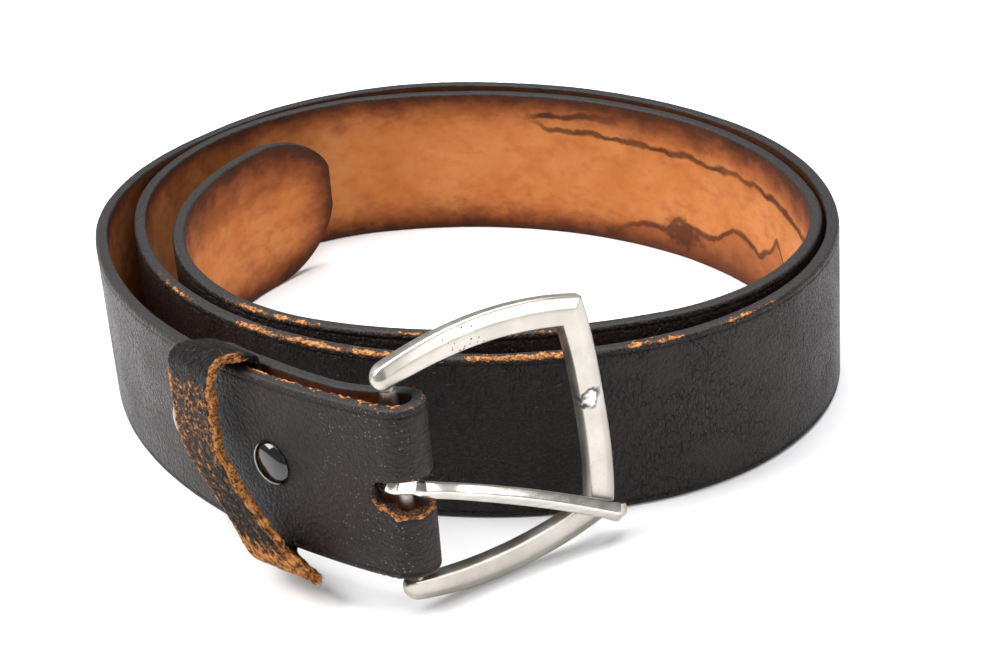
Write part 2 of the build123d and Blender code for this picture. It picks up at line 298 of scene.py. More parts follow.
class Paint:
    """One material, and short ways to add its nodes."""

    def __init__(self, name):
        self.material = bpy.data.materials.new(name)
        self.material.use_nodes = True
        self.tree = self.material.node_tree
        self.surface = self.tree.nodes["Principled BSDF"]

    def feed(self, socket, value):
        """Links a value to a socket, or sets it there."""
        if isinstance(value, bpy.types.NodeSocket):
            self.tree.links.new(value, socket)
        elif isinstance(value, tuple) and len(value) == 3 and socket.type == "RGBA":
            socket.default_value = (*value, 1)
        else:
            socket.default_value = value

    def node(self, kind, inputs, **settings):
        made = self.tree.nodes.new("ShaderNode" + kind)
        for key, value in settings.items():
            setattr(made, key, value)
        for key, value in inputs.items():
            self.feed(made.inputs[key], value)
        return made

    def attribute(self, name, output="Fac"):
        return self.node("Attribute", {}, attribute_name=name).outputs[output]

    def stretch(self, vector, factors):
        return self.node("VectorMath", {0: vector, 1: factors}, operation="MULTIPLY").outputs[0]

    def own_place(self):
        """Places in the object's own axes."""
        return self.node("TexCoord", {}).outputs["Object"]

    def combine(self, operation, first, *others):
        for other in others:
            first = self.node("Math", {0: first, 1: other}, operation=operation).outputs[0]
        return first

    def sum(self, *values):
        return self.combine("ADD", *values)

    def product(self, *values):
        return self.combine("MULTIPLY", *values)

    def most(self, *values):
        return self.combine("MAXIMUM", *values)

    def weigh(self, *pairs):
        """Sum of values, each times its weight."""
        return self.sum(*[self.product(value, weight) for value, weight in pairs])

    def size_of(self, a):
        return self.node("Math", {0: a}, operation="ABSOLUTE").outputs[0]

    def step(self, value, low, high, out_low=0.0, out_high=1.0):
        """Smooth step from one output to the other as the value goes from low to high."""
        inputs = {"Value": value, "From Min": low, "From Max": high, "To Min": out_low, "To Max": out_high}
        return self.node("MapRange", inputs, interpolation_type="SMOOTHSTEP").outputs[0]

    def noise(self, vector, scale, detail=4.0, rough=0.55):
        inputs = {"Vector": vector, "Scale": scale, "Detail": detail, "Roughness": rough}
        return self.node("TexNoise", inputs).outputs[0]

    def cells(self, vector, scale, feature="F1", output="Distance"):
        return self.node("TexVoronoi", {"Vector": vector, "Scale": scale}, feature=feature).outputs[output]

    def blend(self, share, a, b):
        made = self.node("Mix", {0: share}, data_type="RGBA")
        self.feed(made.inputs[6], a)
        self.feed(made.inputs[7], b)
        return made.outputs[2]

    def bump(self, height, depth, strength=1.0):
        return self.node("Bump", {"Height": height, "Distance": depth, "Strength": strength}).outputs[0]

    def finish(self, **inputs):
        """Sets the surface's inputs, whose names have an underscore for each space."""
        for key, value in inputs.items():
            self.feed(self.surface.inputs[key.replace("_", " ")], value)
        return self.material


# ---------------------------------------------------------------- materials

TORN_LIGHT = (0.56, 0.235, 0.068)
TORN_DARK = (0.085, 0.026, 0.008)
BLACK_SKIN = (0.0082, 0.0050, 0.0042)
BROWN_SKIN = (0.0140, 0.0088, 0.0070)
# grey of scuffs, and of a painted sheen on the front's left stretch
GREY_SCUFF_AND_SHEEN = (0.024, 0.0205, 0.0185)
DUST = (0.45, 0.44, 0.43)
CRACK = (0.004, 0.0035, 0.0035)


def torn_colour(paint, place):
    """Orange fibre with dark gaps."""
    shade = paint.noise(place, 1150, 4, 0.7)
    return paint.blend(paint.step(shade, 0.42, 0.58), TORN_DARK, TORN_LIGHT)


def worn_through(paint, place, scale):
    """Where the strap's black finish is gone, from its wear and noise of a scale."""
    patchy = paint.step(paint.noise(place, 330, 3, 0.6), 0.38, 0.62, -0.16, 0.12)
    speckle = paint.product(paint.noise(place, scale, 5, 0.75), 0.9)
    return paint.step(paint.sum(paint.attribute("worn"), speckle, patchy), 0.90, 0.99)


def strap_grain():
    """Black grain side: pebbled, finely cracked, grey from scuffs and painted sheen, flecked orange where the
    finish is gone.
    """
    paint = Paint("strap_grain")
    place = paint.attribute("place", "Vector")
    pebble = paint.cells(place, 1150, "SMOOTH_F1")
    fine = paint.noise(place, 2600, 3)
    broad = paint.noise(place, 55, 4)
    crack_edge = paint.cells(paint.stretch(place, (1.9, 0.55, 1.0)), 640, "DISTANCE_TO_EDGE")
    crack_zone = paint.step(paint.noise(place, 90, 3), 0.40, 0.56)
    crack = paint.product(paint.step(crack_edge, 0.07, 0.0), crack_zone, paint.attribute("crackle"))
    scuff = paint.product(paint.attribute("scuff"), paint.step(paint.noise(place, 900, 5, 0.75), 0.44, 0.60))
    dust_zone = paint.step(paint.noise(place, 300, 2), 0.40, 0.52)
    dust = paint.product(paint.step(paint.cells(place, 1000), 0.20, 0.10), paint.attribute("dust"), dust_zone)
    fleck_zone = paint.step(paint.noise(place, 110, 3), 0.50, 0.64)
    fleck_share = paint.step(paint.attribute("scuff"), 0.0, 0.8, 0.25, 0.85)
    fleck = paint.product(paint.step(paint.cells(place, 620), 0.13, 0.05), fleck_zone, fleck_share)
    orange = paint.most(worn_through(paint, place, 1100), fleck)
    skin = paint.blend(paint.step(broad, 0.3, 0.7), BLACK_SKIN, BROWN_SKIN)
    # Grey over the front's left stretch: partly scuffs, partly a painted sheen where light falls from the
    # left.
    skin = paint.blend(scuff, skin, GREY_SCUFF_AND_SHEEN)
    skin = paint.blend(paint.product(dust, 0.4), skin, DUST)
    skin = paint.blend(paint.product(crack, 0.8), skin, CRACK)
    colour = paint.blend(orange, skin, torn_colour(paint, place))
    rough = paint.step(paint.weigh((broad, 0.4), (fine, 0.6)), 0.35, 0.65, 0.27, 0.58)
    rough = paint.most(rough, paint.product(paint.most(orange, scuff), 0.75))
    height = paint.weigh((pebble, 0.7), (fine, 0.5), (crack, -1.1), (orange, 0.5))
    return paint.finish(Base_Color=colour, Roughness=rough, Normal=paint.bump(height, 0.00060),
                        Specular_IOR_Level=0.22)


def strap_edge():
    """Burnished black cut edge, grey along its crown, worn back to orange fibre in places."""
    paint = Paint("strap_edge")
    place = paint.attribute("place", "Vector")
    fine = paint.noise(place, 1500, 5, 0.65)
    streak = paint.noise(paint.stretch(place, (0.25, 1, 1)), 1300, 4)
    worn = worn_through(paint, place, 1200)
    skin = paint.blend(paint.step(fine, 0.35, 0.7), (0.008, 0.0070, 0.0065), (0.034, 0.031, 0.030))
    colour = paint.blend(worn, skin, torn_colour(paint, place))
    height = paint.weigh((fine, 0.6), (streak, 0.4), (worn, 0.4))
    return paint.finish(Base_Color=colour, Roughness=paint.step(fine, 0.3, 0.7, 0.42, 0.62),
                        Normal=paint.bump(height, 0.00035), Specular_IOR_Level=0.24)


def strap_flesh():
    """Tan flesh side, darkened towards both edges, with painted shade on the outer lap and tide marks where
    it was once wet.
    """
    paint = Paint("strap_flesh")
    place = paint.attribute("place", "Vector")
    nap = paint.noise(place, 1700, 5, 0.7)
    cloud = paint.noise(place, 60, 5, 0.6)
    mottle = paint.noise(paint.stretch(place, (1, 1.6, 1)), 230, 4, 0.6)
    wave = paint.noise(place, 110, 4, 0.65)
    ragged = paint.sum(paint.step(wave, 0.2, 0.8, -0.13, 0.13), paint.step(mottle, 0.2, 0.8, -0.10, 0.10))

    # Soiled edges and stains, plus painted shade on the outer lap's flesh, which faces the next lap.
    soil = paint.sum(paint.attribute("soil"), ragged)
    brown = paint.step(soil, 0.08, 0.80)
    dark = paint.step(soil, 0.62, 1.12)
    black = paint.step(paint.sum(soil, paint.step(nap, 0.3, 0.7, -0.1, 0.1)), 1.14, 1.34)

    jitter = paint.step(paint.noise(place, 130, 3, 0.5), 0.2, 0.8, -1.1, 1.1)
    line = 0.0
    for mark in TIDE_MARKS:
        near = paint.step(paint.size_of(paint.sum(paint.attribute(mark), jitter)), 1.25, 0.35)
        line = paint.most(line, paint.product(near, paint.attribute(mark + "_mask")))
    swell = paint.step(paint.noise(place, 75, 3), 0.3, 0.7, 0.75, 1.0)
    clotted = paint.product(paint.noise(place, 420, 4, 0.65), 1.3)
    blotch = paint.step(paint.sum(paint.attribute("blotch"), clotted), 0.95, 1.45)
    line = paint.most(paint.product(line, swell), paint.product(blotch, 0.8))
    wet = paint.product(paint.step(paint.sum(paint.attribute("tide_low"), jitter), 0.3, -0.3),
                        paint.attribute("tide_low_mask"))

    colour = paint.blend(paint.step(cloud, 0.3, 0.72), (0.400, 0.128, 0.031), (0.490, 0.188, 0.060))
    colour = paint.blend(paint.product(paint.step(mottle, 0.45, 0.72), 0.35), colour, (0.310, 0.086, 0.020))
    colour = paint.blend(paint.product(brown, 0.92), colour, (0.175, 0.046, 0.012))
    colour = paint.blend(paint.product(dark, 0.9), colour, (0.040, 0.012, 0.005))
    colour = paint.blend(paint.product(wet, 0.4), colour, (0.125, 0.036, 0.013))
    colour = paint.blend(paint.product(line, 0.95), colour, (0.040, 0.011, 0.005))
    colour = paint.blend(black, colour, (0.014, 0.009, 0.007))
    return paint.finish(Base_Color=colour, Roughness=paint.step(nap, 0.3, 0.7, 0.62, 0.8),
                        Normal=paint.bump(paint.weigh((nap, 0.7), (mottle, 0.4)), 0.00014, 0.7),
                        Specular_IOR_Level=0.12)


def torn_fibre():
    """Loose orange strands."""
    paint = Paint("torn_fibre")
    place = paint.own_place()
    shade = paint.step(paint.noise(place, 700, 3), 0.3, 0.7)
    return paint.finish(Base_Color=paint.blend(shade, (0.16, 0.055, 0.014), (0.56, 0.27, 0.09)),
                        Roughness=paint.step(paint.noise(place, 900), 0.3, 0.7, 0.65, 0.85),
                        Specular_IOR_Level=0.25)


def keeper_skin():
    """Black skin, cracked along its length and broken through to orange fibre."""
    paint = Paint("keeper_skin")
    place = paint.attribute("place", "Vector")
    fine = paint.noise(place, 1500, 4, 0.65)
    crack_edge = paint.cells(paint.stretch(place, (0.45, 1.5, 1.0)), 700, "DISTANCE_TO_EDGE")
    crack = paint.step(crack_edge, 0.10, 0.01)
    worn = paint.step(paint.sum(paint.attribute("worn"), paint.noise(place, 900, 5, 0.75)), 0.93, 1.01)
    skin = paint.blend(paint.step(fine, 0.35, 0.7), (0.0042, 0.0034, 0.0031), (0.013, 0.0112, 0.0105))
    colour = paint.blend(paint.product(crack, 0.7), skin, (0.006, 0.005, 0.005))
    colour = paint.blend(worn, colour, torn_colour(paint, place))
    rough = paint.most(paint.step(fine, 0.3, 0.7, 0.34, 0.55), paint.product(worn, 0.8))
    height = paint.weigh((fine, 0.6), (crack, -0.6), (worn, 0.7))
    return paint.finish(Base_Color=colour, Roughness=rough, Normal=paint.bump(height, 0.00055),
                        Specular_IOR_Level=0.11)


def satin_nickel():
    """Warm grey satin plate: fine brushing, dull patches, small corrosion pits."""
    paint = Paint("satin_nickel")
    place = paint.own_place()
    brushed = paint.noise(paint.stretch(place, (0.3, 0.3, 1.0)), 5200, 3, 0.6)
    cloud = paint.noise(place, 95, 4, 0.6)
    pit_zone = paint.step(paint.noise(place, 75, 2), 0.57, 0.64)
    pit = paint.product(paint.step(paint.cells(place, 950), 0.26, 0.16), pit_zone, paint.attribute("pits"))
    tone = paint.blend(paint.step(cloud, 0.3, 0.7), (0.41, 0.38, 0.335), (0.53, 0.50, 0.455))
    colour = paint.blend(paint.attribute("blister"), tone, (0.86, 0.84, 0.80))
    colour = paint.blend(paint.most(pit, paint.attribute("rim")), colour, (0.05, 0.045, 0.04))
    rough = paint.sum(paint.step(cloud, 0.3, 0.7, 0.31, 0.41), paint.product(pit, 0.3))
    height = paint.weigh((brushed, 0.25), (pit, -1.0))
    return paint.finish(Base_Color=colour, Roughness=rough, Metallic=1.0,
                        Normal=paint.bump(height, 0.00006, 0.5))


def polished_nickel():
    """Polished plate of the tongue, worn to brass at the tip."""
    paint = Paint("polished_nickel")
    place = paint.own_place()
    cloud = paint.noise(place, 140, 4, 0.6)
    smear = paint.noise(paint.stretch(place, (0.4, 0.4, 1.6)), 420, 4, 0.65)
    ragged = paint.step(smear, 0.3, 0.7, -0.3, 0.3)
    brass = paint.step(paint.sum(paint.attribute("brass"), ragged), 0.45, 0.75)
    tone = paint.blend(paint.step(smear, 0.3, 0.7), (0.50, 0.465, 0.42), (0.64, 0.61, 0.565))
    colour = paint.blend(paint.product(brass, 0.75), tone, (0.46, 0.33, 0.15))
    rough = paint.sum(paint.step(cloud, 0.3, 0.7, 0.13, 0.22), paint.product(brass, 0.15))
    return paint.finish(Base_Color=colour, Roughness=rough, Metallic=1.0,
                        Normal=paint.bump(smear, 0.00005, 0.35))


def black_enamel():
    """Gloss black of the screws, with a little dust."""
    paint = Paint("black_enamel")
    place = paint.own_place()
    haze = paint.noise(place, 420, 4, 0.6)
    dust = paint.step(paint.cells(place, 900), 0.09, 0.04)
    dust = paint.product(dust, paint.step(paint.noise(place, 300, 2), 0.5, 0.62))
    colour = paint.blend(paint.product(dust, 0.4), (0.003, 0.003, 0.003), (0.25, 0.25, 0.25))
    return paint.finish(Base_Color=colour, Roughness=paint.step(haze, 0.3, 0.7, 0.07, 0.16), Coat_Weight=0.5,
                        Normal=paint.bump(haze, 0.00003, 0.3))


def floor_paper():
    """Plain matt white."""
    paint = Paint("floor_paper")
    place = paint.own_place()
    tone = paint.noise(place, 3, 3)
    return paint.finish(Base_Color=paint.blend(tone, (0.86, 0.86, 0.87), (0.89, 0.89, 0.90)), Roughness=0.85)


# ---------------------------------------------------------------- strap

GRAIN, EDGE, FLESH = range(3)
FINE_UP_TO = 72              # rows are close together from the flap to here
HOLE_ROWS_FROM_TIP = (204, 88)


def face_heights():
    """Rows up the faces, with rows on the slot's two straight edges."""
    low = WIDTH / 2 - SLOT_BELOW
    high = WIDTH / 2 + SLOT_ABOVE
    return np.concatenate([np.linspace(FACE_EDGE, low, 9)[:-1], np.linspace(low, high, 13),
                           np.linspace(high, WIDTH - FACE_EDGE, 9)[1:]])


def corner_points(height, offset, radius, from_angle, to_angle, steps):
    """Arc in the section; angle 0 points out of the grain side and 90 points up."""
    angles = np.radians(np.linspace(from_angle, to_angle, steps + 2)[1:-1])
    return [(height + radius * math.sin(a), offset + radius * math.cos(a)) for a in angles]


def strap_section():
    """Heights and offsets round the section, each side's material, and where both faces' rows are."""
    middle = face_heights()
    crease = [(GRAIN_CORNER, 0), (CREASE_INSET - CREASE_HALF, -0.03), (CREASE_INSET, -CREASE_DEPTH),
              (CREASE_INSET + CREASE_HALF, -0.03)]
    grain = [(h, HALF_THICK + o) for h, o in crease] + [(h, HALF_THICK) for h in middle]
    grain += [(WIDTH - h, HALF_THICK + o) for h, o in reversed(crease)]
    corner = HALF_THICK - GRAIN_CORNER
    inner = FLESH_CORNER - HALF_THICK
    top = corner_points(WIDTH - GRAIN_CORNER, corner, GRAIN_CORNER, 0, 90, 3)
    top += [(WIDTH, 0.4), (WIDTH, -0.3), (WIDTH, inner)]
    top += corner_points(WIDTH - FLESH_CORNER, inner, FLESH_CORNER, 90, 180, 2)
    flesh_edge = [FLESH_CORNER, 1.2]
    flesh = [(WIDTH - h, -HALF_THICK) for h in flesh_edge]
    flesh += [(h, -HALF_THICK) for h in reversed(middle)]
    flesh += [(h, -HALF_THICK) for h in reversed(flesh_edge)]
    bottom = [(WIDTH - h, o) for h, o in reversed(top)]
    kinds = [GRAIN] * (len(grain) + 1) + [EDGE] * (len(top) - 1) + [FLESH] * len(flesh)
    kinds += [EDGE] * (len(bottom) - 1) + [GRAIN]
    grain_first = len(crease)
    flesh_last = len(grain) + len(top) + len(flesh_edge) + len(middle) - 1
    return np.array(grain + top + flesh + bottom), kinds, grain_first, flesh_last


def strap_stations():
    """Distances along the strap, closer together near the holes and the ends."""
    tip = AHEAD.length
    flap = -BEHIND.length
    hole_start, hole_end = (tip - d for d in HOLE_ROWS_FROM_TIP)
    flap_round = FLAP_ROUND * (1 - np.cos(np.linspace(0, math.pi / 2, 41)[:-1]))
    tip_round = TIP_LENGTH * np.cos(np.linspace(0, math.pi / 2, 28))
    return np.concatenate([flap + flap_round,
                           np.arange(flap + FLAP_ROUND, FINE_UP_TO, 0.75),
                           np.arange(FINE_UP_TO, hole_start, 1.6),
                           np.arange(hole_start, hole_end, 0.8),
                           np.arange(hole_end, tip - TIP_LENGTH, 1.6),
                           tip - tip_round])


def tip_shape(distance):
    """Half height of the strap's rounded tip, as a share of the full one, and how far its middle rises."""
    into = np.clip(distance - (AHEAD.length - TIP_LENGTH), 0, TIP_LENGTH)
    return np.sqrt(1 - (into / (TIP_LENGTH + 1))**2), TIP_RISE * (into / TIP_LENGTH)**3


def flap_shape(distance):
    """Half height of the flap's rounded end, as a share of the full one."""
    into = np.clip(FLAP_ROUND - BEHIND.length - distance, 0, FLAP_ROUND)
    return np.sqrt(1 - (into / (FLAP_ROUND + 0.3))**2)


def slot_half(past, height):
    """Half height of the slot, which widens towards the fold."""
    widest = np.where(height > WIDTH / 2, SLOT_ABOVE, SLOT_BELOW)
    return SLOT_END_RADIUS + (widest - SLOT_END_RADIUS) * np.clip(past / SLOT_FLARE, 0, 1)


def slot_reach(distance):
    """How far each station is past the middle of the slot's round end, towards the fold, in plan."""
    point, _, _ = centreline(distance)
    middle, heading, _ = centreline(np.array([SLOT_CENTRE]))
    return (point - middle[0]) @ unit(heading[0] + 180) + FLAP_SLOT_EXTRA * (distance < -10)


class Hole:
    """An opening through the strap, given by a signed distance in a flat plane of its own."""

    def __init__(self, low, high, along, radius, is_slot=False):
        self.low, self.high, self.along, self.radius, self.is_slot = low, high, along, radius, is_slot

    def outside(self, distance, height):
        x = self.along(distance)
        if self.is_slot:
            return np.hypot(np.minimum(x, 0), height - WIDTH / 2) - slot_half(x, height)
        return np.hypot(x, height - WIDTH / 2) - self.radius

    def snap(self, distance, height):
        """The point of the hole's outline nearest to this one."""
        x = float(self.along(np.array([distance]))[0])
        y = height - WIDTH / 2
        if self.is_slot and x >= 0:
            return distance, WIDTH / 2 + math.copysign(float(slot_half(x, height)), y)
        size = math.hypot(x, y) or 1.0
        ahead = float(self.along(np.array([distance + 0.01]))[0])
        change = x * (self.radius / size - 1)
        return distance + math.copysign(change, change * (ahead - x)), WIDTH / 2 + y * self.radius / size


def flap_place(front_distance):
    """Station on the flap straight behind a place on the front layer."""
    stations = -np.linspace(20, BEHIND.length, 2000)
    point, _, _ = centreline(stations)
    front, _, _ = centreline(np.array([front_distance]))
    return float(stations[np.hypot(*(point - front[0]).T).argmin()])


def strap_holes():
    """The slot, the screw holes in both layers and the adjustment holes."""
    holes = [Hole(*SLOT_STATIONS, slot_reach, SLOT_END_RADIUS, is_slot=True)]
    round_holes = [(place, SCREW_HOLE_RADIUS) for place in SCREW_PLACES.values()]
    round_holes += [(flap_place(place), SCREW_HOLE_RADIUS) for place in SCREW_PLACES.values()]
    round_holes += [(AHEAD.length - d, ADJUST_HOLE_RADIUS) for d in ADJUST_HOLES_FROM_TIP]
    for place, radius in round_holes:
        holes.append(Hole(place - HOLE_MARGIN, place + HOLE_MARGIN, lambda s, place=place: s - place, radius))
    return holes


STRAP_HOLES = strap_holes()

# Worn stretches of the edges: from, to and how much.
TOP_WEAR = [(474, 490, 0.4), (499, 512, 0.45), (524, 547, 0.72), (556, 604, 0.5), (1076, 1104, 0.45),
            (-14, 8, 0.2), (14, 34, 0.12), (1020, 1060, 0.3), (270, 300, 0.25), (620, 640, 0.3)]
INNER_WEAR = [(-4, 42, 0.62), (60, 130, 0.3), (500, 600, 0.3)]
BOTTOM_WEAR = [(-14, 6, 0.62), (500, 560, 0.34), (250, 460, 0.2)]


def wear_along(distance, patches):
    """Wear at each place, from the patches' strengths with soft ends."""
    total = np.zeros_like(distance)
    for start, end, strength in patches:
        window = smooth_step(distance, start - 3, start + 3) * smooth_step(distance, end + 3, end - 3)
        total = np.maximum(total, strength * window)
    return total


def strap_wear(distance, height, offset):
    """How worn the surface is, from 0 to 1: most at the corners of the grain side and round the slot."""
    top = np.exp(-(np.hypot(height - WIDTH, (offset - 0.9) * 0.8) / 0.95)**2)
    bottom = np.exp(-(np.hypot(height, (offset - 0.6) * 0.8) / 0.9)**2)
    worn = wear_along(distance, TOP_WEAR) * top + wear_along(distance, BOTTOM_WEAR) * bottom
    inner = np.exp(-(np.hypot(height - WIDTH, (offset + 1.1) * 0.8) / 0.8)**2)
    worn += wear_along(distance, INNER_WEAR) * inner + 0.16 * (top + bottom)
    at_slot = STRAP_HOLES[0].outside(distance, height)
    near_slot = np.exp(-(np.maximum(at_slot, 0) / 0.5)**2) * (distance < 8) * (distance > -14)
    slot_wear = np.where(height < WIDTH / 2, 0.75, 0.45)
    return np.clip(worn + slot_wear * near_slot * (offset > 0), 0, 1)


# Tide marks: corners as places along and up the strap, and where each fades in and out.
TIDE_MARKS = {
    "tide_top": ([(812, 33.0), (818, 34.6), (850, 35.5)], (812, 818), (850, 828)),
    "tide_high": ([(815, 33.5), (820, 30.8), (836, 30), (866, 29.5), (902, 30), (925, 27), (945, 24)],
                  (812, 822), (948, 930)),
    "tide_low": ([(838, 3), (848, 7), (856, 7), (860, 12), (866, 9), (875, 8.5), (882, 15), (887, 14.5),
                  (893, 11), (899, 15), (903, 19.5), (908, 12), (920, 8)], (836, 848), (920, 905)),
}


def cut_hole(hole, stations, grain_first, flesh_last, distance, height):
    """Cells to leave out for a hole and its walls. The rim's points are moved on to its outline."""
    around = distance.shape[1]
    heights = face_heights()
    middles = (heights[:-1] + heights[1:]) / 2
    first, last = np.searchsorted(stations, [hole.low, hole.high])
    cut = np.zeros((last - first, len(middles)), bool)
    for i in range(last - first):
        station = (stations[first + i] + stations[first + i + 1]) / 2
        cut[i] = hole.outside(np.full(len(middles), station), middles) < 0

    def ring(i, j):
        """The grain and flesh points of a grid corner."""
        return (first + i) * around + grain_first + j, (first + i) * around + flesh_last - j

    def is_cut(i, j):
        return 0 <= i < cut.shape[0] and 0 <= j < cut.shape[1] and cut[i, j]

    skipped = set()
    walls = []
    moved = set()
    for i, j in zip(*np.nonzero(cut)):
        skipped.update([(first + i, grain_first + j), (first + i, flesh_last - j - 1)])
        sides = [((i - 1, j), (i, j), (i, j + 1)), ((i + 1, j), (i + 1, j + 1), (i + 1, j)),
                 ((i, j - 1), (i + 1, j), (i, j)), ((i, j + 1), (i, j + 1), (i + 1, j + 1))]
        for neighbour, a, b in sides:
            if not is_cut(*neighbour):
                grain_a, flesh_a = ring(*a)
                grain_b, flesh_b = ring(*b)
                walls.append([grain_a, grain_b, flesh_b, flesh_a])
                moved.update([a, b])
    for i, j in moved:
        new_distance, new_height = hole.snap(stations[first + i], heights[j])
        for index in ring(i, j):
            distance.flat[index] = new_distance
            height.flat[index] = new_height
    return skipped, walls


def strap_relief(distance, height, offset, places, worn, shrink):
    """Heights and offsets with the worn edges' lumps and the leather's slight waves."""
    wavy = ripple(places, 14.0, 2)
    lump = 0.55 * worn * (ripple(places, 1.1) - 0.25) * smooth_step(worn, 0.2, 0.6)
    lump = lump * (0.3 + 0.7 * smooth_step(STRAP_HOLES[0].outside(distance, height), 0.5, 2.5))
    from_middle = height - WIDTH / 2
    face_normal = np.sign(offset) * smooth_step(np.abs(offset), 0.9, 1.45)
    up_normal = np.sign(from_middle) * smooth_step(np.abs(from_middle), WIDTH / 2 - 1, WIDTH / 2)
    new_height = height + up_normal * (lump + 0.10 * wavy * shrink[:, None])
    return np.maximum(new_height, 0.02), offset + face_normal * (lump + 0.03 * wavy)


def paint_strap(piece, used, places, worn, from_edge):
    """The values that the strap's materials read at each point."""
    s, h, _ = np.moveaxis(places, -1, 0)
    add_places(piece, used, places)
    # Grey patches, strongest from 20 to 330 mm along: partly scuffs, partly a painted sheen where light falls
    # on the front's left stretch.
    scuff = 0.25 + 0.75 * smooth_step(s, 20, 90) * smooth_step(s, 330, 240)
    above = {}
    for name, (corners, start, end) in TIDE_MARKS.items():
        above[name] = h - np.interp(s, *np.transpose(corners))
        mask = smooth_step(s, *start) * smooth_step(s, *end)
        add_values(piece, used, **{name: above[name], name + "_mask": mask})
    above_mark = smooth_step(above["tide_high"], 0, 5) * smooth_step(s, 815, 850)
    at_edge = np.exp(-(from_edge / 6.6)**1.25)
    # Darker inside the face: stains above the high tide mark and past 835 mm, and painted shade on the outer
    # lap's flesh (before 560 to 700 mm along), which faces the next lap.
    stains_and_lap_shade = 0.28 * above_mark + 0.16 * smooth_step(s, 835, 905) + 0.35 * smooth_step(s, 700, 560)
    add_values(piece, used, worn=worn, scuff=scuff * 0.8,
               crackle=0.1 + 0.9 * smooth_step(s, 90, 300),
               dust=smooth_step(s, -8, 0) * smooth_step(s, 26, 8),
               blotch=np.exp(-((s - 862) / 8.0)**2 - ((h - 7) / 5.0)**2),
               soil=1.20 * at_edge + stains_and_lap_shade * (1 - at_edge))


def make_strap(materials):
    """The section carried along the route, with its holes cut out and both ends capped."""
    section, kinds, grain_first, flesh_last = strap_section()
    stations = strap_stations()
    rows, around = len(stations), len(section)
    shrink, rise = tip_shape(stations)
    shrink = shrink * flap_shape(stations)
    thin = np.ones(rows)
    thin[[0, -1]], thin[[1, -2]] = END_THINNING
    distance = np.repeat(stations[:, None], around, axis=1)
    height = (section[None, :, 0] - WIDTH / 2) * shrink[:, None] + WIDTH / 2 + rise[:, None]
    offset = section[None, :, 1] * thin[:, None]

    skipped = set()
    walls = []
    for hole in STRAP_HOLES:
        hole_cells, hole_walls = cut_hole(hole, stations, grain_first, flesh_last, distance, height)
        skipped |= hole_cells
        walls += hole_walls

    faces = []
    face_kinds = []
    for i in range(rows - 1):
        for k in range(around):
            if (i, k) in skipped:
                continue
            after = (k + 1) % around
            faces.append([i * around + k, (i + 1) * around + k, (i + 1) * around + after, i * around + after])
            face_kinds.append(kinds[k])
    last_row = (rows - 1) * around
    faces += [list(range(around)), list(range(last_row, last_row + around))[::-1]]
    faces += walls
    face_kinds += [EDGE] * (2 + len(walls))

    worn = strap_wear(distance, height, offset)
    places = np.stack([distance, height, offset], axis=-1)
    new_height, new_offset = strap_relief(distance, height, offset, places, worn, shrink)
    points = on_strap(distance, new_height, new_offset).reshape(-1, 3)
    piece, used = make_object("belt_strap", points, faces, materials, face_kinds)
    fix_normals(piece)
    from_top = (WIDTH / 2 * shrink)[:, None] - np.abs(height - (WIDTH / 2 + rise)[:, None])
    from_edge = np.clip(np.minimum(from_top, AHEAD.length - distance), 0, WIDTH)
    paint_strap(piece, used, places, worn, from_edge)
    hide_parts("strap")
    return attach(piece, "belt")


# ---------------------------------------------------------------- loose fibres

FIBRE_BENDS = 4
FIBRE_SIDES = 3
FIBRE_SPREAD = 0.55          # how far each strand's direction strays
STRANDS_PER_MM = 70          # on a fully worn top edge
BOTTOM_STRANDS = 60
SLOT_LOW_STRANDS = 240
SLOT_HIGH_STRANDS = 110
SLOT_END_STRANDS = 90


def unit_rows(vectors):
    """Each row as a direction of length one."""
    return vectors / np.linalg.norm(vectors, axis=1)[:, None]


def make_fibres(name, roots, outward, length, radius, material, curl=0.7):
    """Short curled strands, three-sided and tapering, one at each root."""
    count = len(roots)
    direction = unit_rows(outward + RNG.normal(0, FIBRE_SPREAD, (count, 3)))
    lengths = length * RNG.uniform(0.45, 1.3, count)
    thickness = radius * RNG.uniform(0.6, 1.3, count)
    line = [roots]
    for _ in range(FIBRE_BENDS):
        direction = unit_rows(direction + RNG.normal(0, curl * 0.6, (count, 3)))
        line.append(line[-1] + direction * (lengths / FIBRE_BENDS)[:, None])
    across = unit_rows(np.cross(direction, RNG.normal(0, 1, (count, 3))))
    other = np.cross(direction, across)
    points = []
    for i, place in enumerate(line):
        width = thickness * (1 - 0.75 * i / FIBRE_BENDS)
        for k in range(FIBRE_SIDES):
            angle = 2 * math.pi * k / FIBRE_SIDES
            points.append(place + (across * math.cos(angle) + other * math.sin(angle)) * width[:, None])
    points = np.array(points).transpose(1, 0, 2).reshape(-1, 3)
    one = tube_faces(FIBRE_BENDS + 1, FIBRE_SIDES)
    block = (FIBRE_BENDS + 1) * FIBRE_SIDES
    faces = [[index + n * block for index in face] for n in range(count) for face in one]
    return make_object(name, points, faces, [material])[0]


